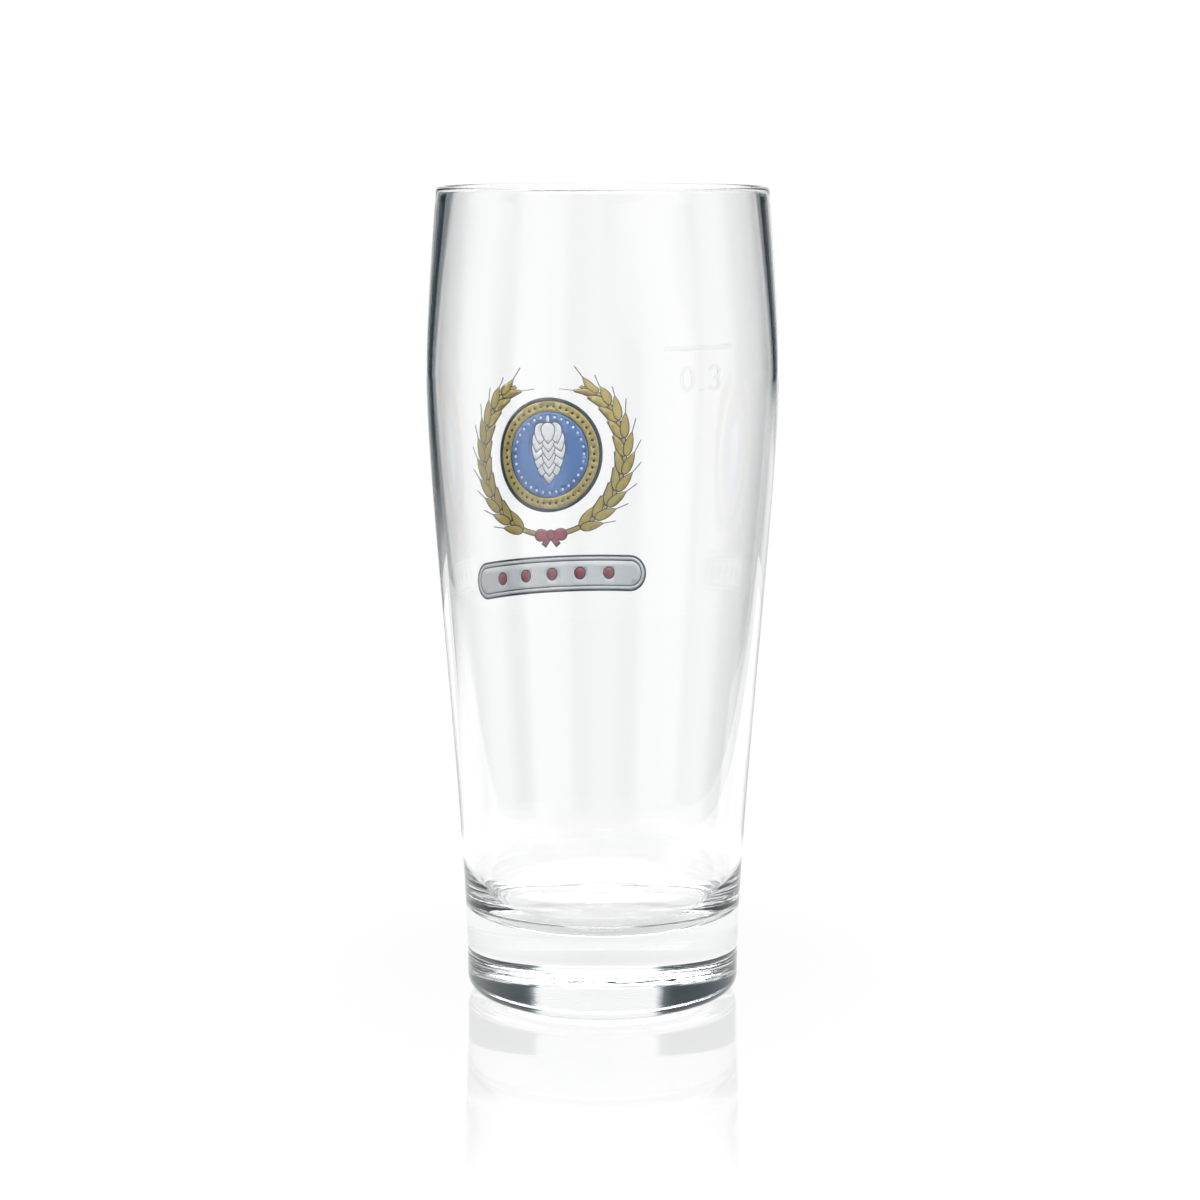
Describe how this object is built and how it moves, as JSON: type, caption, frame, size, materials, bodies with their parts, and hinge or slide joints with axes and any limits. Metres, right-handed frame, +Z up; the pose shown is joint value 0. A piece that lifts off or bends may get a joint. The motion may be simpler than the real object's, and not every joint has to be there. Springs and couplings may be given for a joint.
{
  "type": "beer tumbler",
  "caption": "Tall clear glass beer tumbler with a thick base, a slight bulge below its rounded rim, a fired colour print on the back and a pale fill mark on the front.",
  "frame": {"origin": "centre of the ring that the glass stands on", "axes": "+Z up along the axis of the glass, -Y towards the side that carries the fill mark, +Y towards the side that carries the colour print"},
  "size_m": [0.068, 0.0681, 0.1575],
  "materials": {
    "clear_glass": "polished",
    "gold_enamel": "satin",
    "blue_enamel": "satin",
    "white_enamel": "satin",
    "grey_enamel": "satin",
    "red_enamel": "satin",
    "dark_enamel": "satin",
    "pale_enamel": "frosted"
  },
  "bodies": {
    "root": {"glass_body": "clear_glass", "print_medallion_outline": "dark_enamel", "print_medallion_ring": "gold_enamel", "print_medallion_field": "blue_enamel", "print_hop_cone": "white_enamel", "print_barley_ear_left": "gold_enamel", "print_barley_ear_right": "gold_enamel", "print_tie": "red_enamel", "print_band_frame": "dark_enamel", "print_band_field": "grey_enamel", "print_band_dot_1": "red_enamel", "print_band_dot_2": "red_enamel", "print_band_dot_3": "red_enamel", "print_band_dot_4": "red_enamel", "print_band_dot_5": "red_enamel", "fill_line": "pale_enamel", "fill_number_nought": "pale_enamel", "fill_number_point": "pale_enamel", "fill_number_three": "pale_enamel"}
  },
  "joints": []
}
